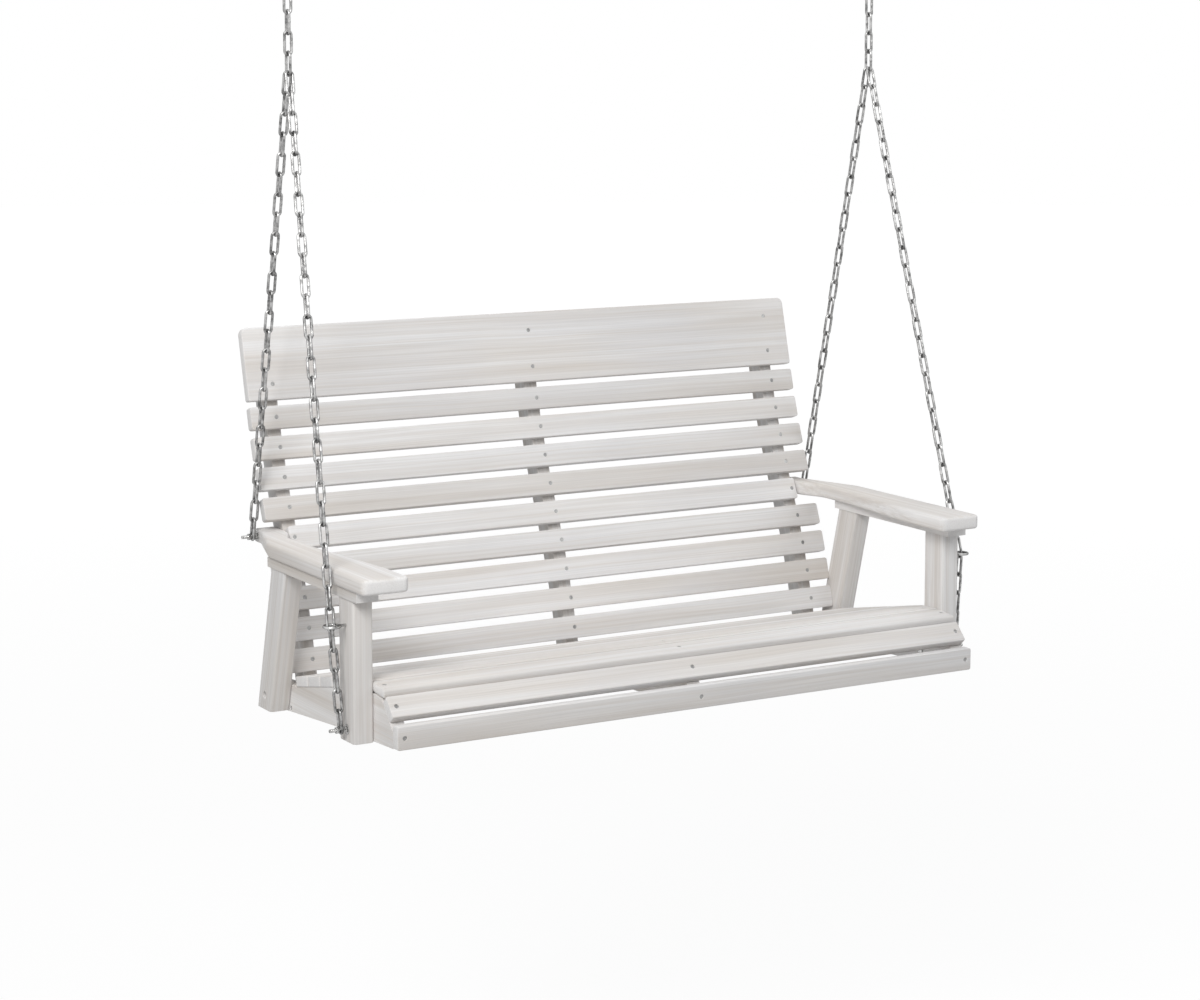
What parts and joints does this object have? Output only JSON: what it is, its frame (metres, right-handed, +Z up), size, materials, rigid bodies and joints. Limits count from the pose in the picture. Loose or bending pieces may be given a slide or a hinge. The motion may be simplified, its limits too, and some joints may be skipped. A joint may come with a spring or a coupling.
{
  "type": "porch swing seat",
  "caption": "Slatted wooden porch swing bench with a curved back, shaped armrests and chain legs that hang it from ceiling hooks.",
  "frame": {"origin": "midway between the two ceiling hooks, on the ceiling plane that their shanks enter", "axes": "+X to the right of the seat as seen from the front, the front of the seat faces -Y, +Z up"},
  "size_m": [1.381, 0.7166, 1.4659],
  "materials": {
    "whitewashed_wood": "whitewashed, matt, grain showing through",
    "chain_zinc": "zinc plated, satin",
    "fastener_steel": "zinc plated, satin"
  },
  "bodies": {
    "hooks": {"ceiling_hook_left": "fastener_steel", "ceiling_hook_right": "fastener_steel"},
    "top_link_left_body": {"top_link_left": "chain_zinc"},
    "upper_chain_left_body": {"upper_chain_left": "chain_zinc"},
    "level_link_left_body": {"level_link_left": "chain_zinc"},
    "top_link_right_body": {"top_link_right": "chain_zinc"},
    "upper_chain_right_body": {"upper_chain_right": "chain_zinc"},
    "level_link_right_body": {"level_link_right": "chain_zinc"},
    "seat": {"crest_rail": "whitewashed_wood", "back_slat_1": "whitewashed_wood", "back_slat_2": "whitewashed_wood", "back_slat_3": "whitewashed_wood", "back_slat_4": "whitewashed_wood", "back_slat_5": "whitewashed_wood", "back_slat_6": "whitewashed_wood", "back_slat_7": "whitewashed_wood", "back_slat_8": "whitewashed_wood", "back_slat_9": "whitewashed_wood", "back_stile_left": "whitewashed_wood", "back_stile_center": "whitewashed_wood", "back_stile_right": "whitewashed_wood", "seat_rail_left": "whitewashed_wood", "seat_rail_center": "whitewashed_wood", "seat_rail_right": "whitewashed_wood", "seat_back_rail": "whitewashed_wood", "seat_slat_1": "whitewashed_wood", "seat_slat_2": "whitewashed_wood", "seat_slat_3": "whitewashed_wood", "seat_slat_4": "whitewashed_wood", "seat_slat_5": "whitewashed_wood", "seat_slat_6": "whitewashed_wood", "seat_slat_7": "whitewashed_wood", "front_roll_slat": "whitewashed_wood", "front_apron": "whitewashed_wood", "front_post_left": "whitewashed_wood", "front_post_right": "whitewashed_wood", "rear_post_left": "whitewashed_wood", "rear_post_right": "whitewashed_wood", "arm_cleat_left": "whitewashed_wood", "arm_cleat_right": "whitewashed_wood", "armrest_left": "whitewashed_wood", "armrest_right": "whitewashed_wood", "junction_link_left": "chain_zinc", "junction_link_right": "chain_zinc", "rear_leg_chain_left": "chain_zinc", "rear_leg_chain_right": "chain_zinc", "front_leg_chain_left": "chain_zinc", "front_leg_chain_right": "chain_zinc", "eye_screw_left": "fastener_steel", "eye_screw_right": "fastener_steel", "chain_bolts": "fastener_steel", "post_bolts": "fastener_steel", "bolt_nuts": "fastener_steel", "bolt_washers": "fastener_steel", "back_screws": "fastener_steel", "seat_screws": "fastener_steel", "frame_screws": "fastener_steel"}
  },
  "joints": [
    {"name": "swing_left", "type": "hinge", "parent": "hooks", "child": "top_link_left_body", "pos_m": [-0.627, 0, -0.065], "axis": [1, 0, 0], "range_deg": [-25, 25]},
    {"name": "sway_left", "type": "hinge", "parent": "top_link_left_body", "child": "upper_chain_left_body", "pos_m": [-0.627, 0, -0.1004], "axis": [0, 1, 0], "range_deg": [-8, 8]},
    {"name": "level_left", "type": "hinge", "parent": "upper_chain_left_body", "child": "level_link_left_body", "pos_m": [-0.627, 0, -0.1732], "axis": [0, 1, 0], "range_deg": [-8, 8]},
    {"name": "swing_right", "type": "hinge", "parent": "hooks", "child": "top_link_right_body", "pos_m": [0.627, 0, -0.065], "axis": [1, 0, 0], "range_deg": [-25, 25]},
    {"name": "sway_right", "type": "hinge", "parent": "top_link_right_body", "child": "upper_chain_right_body", "pos_m": [0.627, 0, -0.1004], "axis": [0, 1, 0], "range_deg": [-8, 8]},
    {"name": "level_right", "type": "hinge", "parent": "upper_chain_right_body", "child": "level_link_right_body", "pos_m": [0.627, 0, -0.1732], "axis": [0, 1, 0], "range_deg": [-8, 8]},
    {"name": "pitch", "type": "hinge", "parent": "level_link_left_body", "child": "seat", "pos_m": [-0.627, 0, -0.2096], "axis": [1, 0, 0], "range_deg": [-10, 10]}
  ],
  "couplings": [
    {"joint": "swing_right", "follows": "swing_left", "ratio": 1},
    {"joint": "sway_right", "follows": "sway_left", "ratio": 1},
    {"joint": "level_left", "follows": "sway_left", "ratio": -1},
    {"joint": "level_right", "follows": "sway_left", "ratio": -1}
  ]
}
